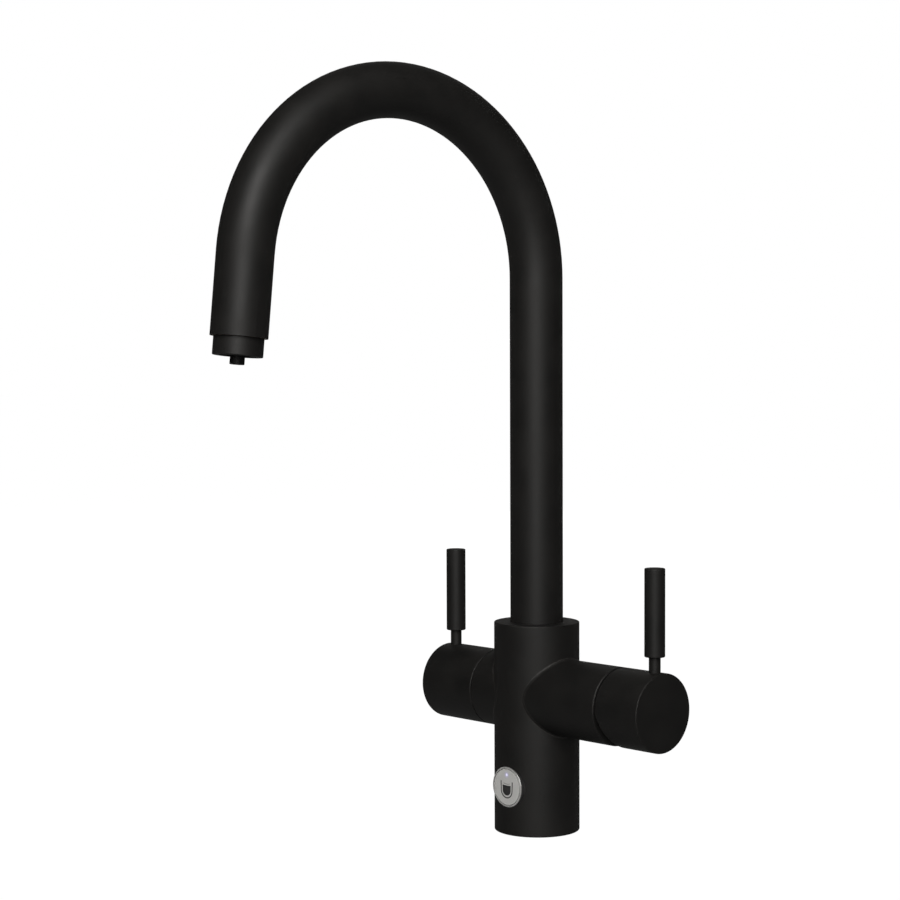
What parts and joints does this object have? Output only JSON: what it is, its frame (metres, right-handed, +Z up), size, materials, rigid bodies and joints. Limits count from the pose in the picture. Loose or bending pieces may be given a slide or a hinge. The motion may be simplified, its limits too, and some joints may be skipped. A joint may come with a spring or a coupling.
{
  "type": "boiling water tap",
  "caption": "Kitchen tap with a swivelling J spout, a side mixer lever, a quarter-turn lever for filtered water and a push button for boiling water, in matt black.",
  "frame": {"origin": "centre of the underside of the base, at the mouth of the shank socket", "axes": "+Z up, -Y to the front, where the button looks and the spout leans, +X along the mixer arm"},
  "size_m": [0.1744, 0.2466, 0.4398],
  "materials": {
    "matte_black": "satin black coating on brass and steel",
    "rubber": "matt black rubber",
    "steel": "plain stainless steel",
    "brass": "machined brass",
    "white_plastic": "moulded plastic",
    "grey_plastic": "glass-filled plastic",
    "dark_plastic": "moulded plastic",
    "ceramic": "ground ceramic",
    "button_satin": "satin silver",
    "bezel_polished": "polished",
    "light_lens": "clear lens, lit pale violet"
  },
  "bodies": {
    "tap_body": {"valve_body": "matte_black", "base_seal": "rubber", "cable_grommet": "rubber", "spout_stop_screw": "steel", "inner_tube_seal": "rubber", "cartridge_base": "white_plastic", "cartridge_port_seals": "rubber", "cartridge_housing": "grey_plastic", "mixer_fixed_disc": "ceramic", "cartridge_nut": "brass", "cartridge_cover": "dark_plastic", "left_valve_housing": "brass", "left_valve_seal": "rubber", "left_fixed_disc": "ceramic", "left_guide_ring": "dark_plastic", "button_gasket": "rubber", "button_bezel": "bezel_polished", "button_spring": "steel", "button_switch": "dark_plastic"},
    "spout": {"spout_tube": "matte_black", "spout_spigot": "brass", "spout_o_rings": "rubber", "spout_glide_ring": "white_plastic", "inner_tube": "steel", "outlet_insert": "brass", "aerator_collar": "matte_black", "aerator_washer": "rubber", "aerator_cage": "white_plastic", "aerator_screen": "steel", "outlet_nozzle": "matte_black"},
    "mixer_turret": {"mixer_rotor": "grey_plastic", "mixer_tilt_pin": "steel"},
    "mixer_lever": {"mixer_spindle": "steel", "mixer_handle": "matte_black", "mixer_grub_screw": "steel", "mixer_lever_stem": "matte_black", "mixer_lever_grip": "matte_black"},
    "mixer_disc": {"mixer_moving_disc": "ceramic", "disc_carrier": "dark_plastic"},
    "filtered_lever": {"left_moving_disc": "ceramic", "left_spindle": "steel", "left_handle": "matte_black", "left_grub_screw": "steel", "left_lever_stem": "matte_black", "left_lever_grip": "matte_black"},
    "push_button": {"button_cap": "button_satin", "button_window": "light_lens"}
  },
  "joints": [
    {"name": "spout_swivel", "type": "hinge", "parent": "tap_body", "child": "spout", "pos_m": [0, 0, 0.1226], "axis": [0, 0, 1], "range_deg": [-71.4, 78.6]},
    {"name": "mixer_temperature", "type": "hinge", "parent": "tap_body", "child": "mixer_turret", "pos_m": [0.0675, 0, 0.0801], "axis": [1, 0, 0], "range_deg": [-45, 45]},
    {"name": "mixer_flow", "type": "hinge", "parent": "mixer_turret", "child": "mixer_lever", "pos_m": [0.0675, 0, 0.0801], "axis": [0, 1, 0], "range_deg": [0, 16]},
    {"name": "disc_slide", "type": "slide", "parent": "mixer_turret", "child": "mixer_disc", "axis": [0, 0, 1], "range_m": [0, 0.0056]},
    {"name": "filtered_turn", "type": "hinge", "parent": "tap_body", "child": "filtered_lever", "pos_m": [-0.05, 0, 0.0801], "axis": [1, 0, 0], "range_deg": [0, 90]},
    {"name": "button_press", "type": "slide", "parent": "tap_body", "child": "push_button", "axis": [0, 1, 0], "range_m": [0, 0.0008], "stiffness_N_per_m": 1500, "springref_m": -0.001}
  ],
  "couplings": [
    {"joint": "disc_slide", "follows": "mixer_flow", "m_per_rad": 0.01977}
  ]
}
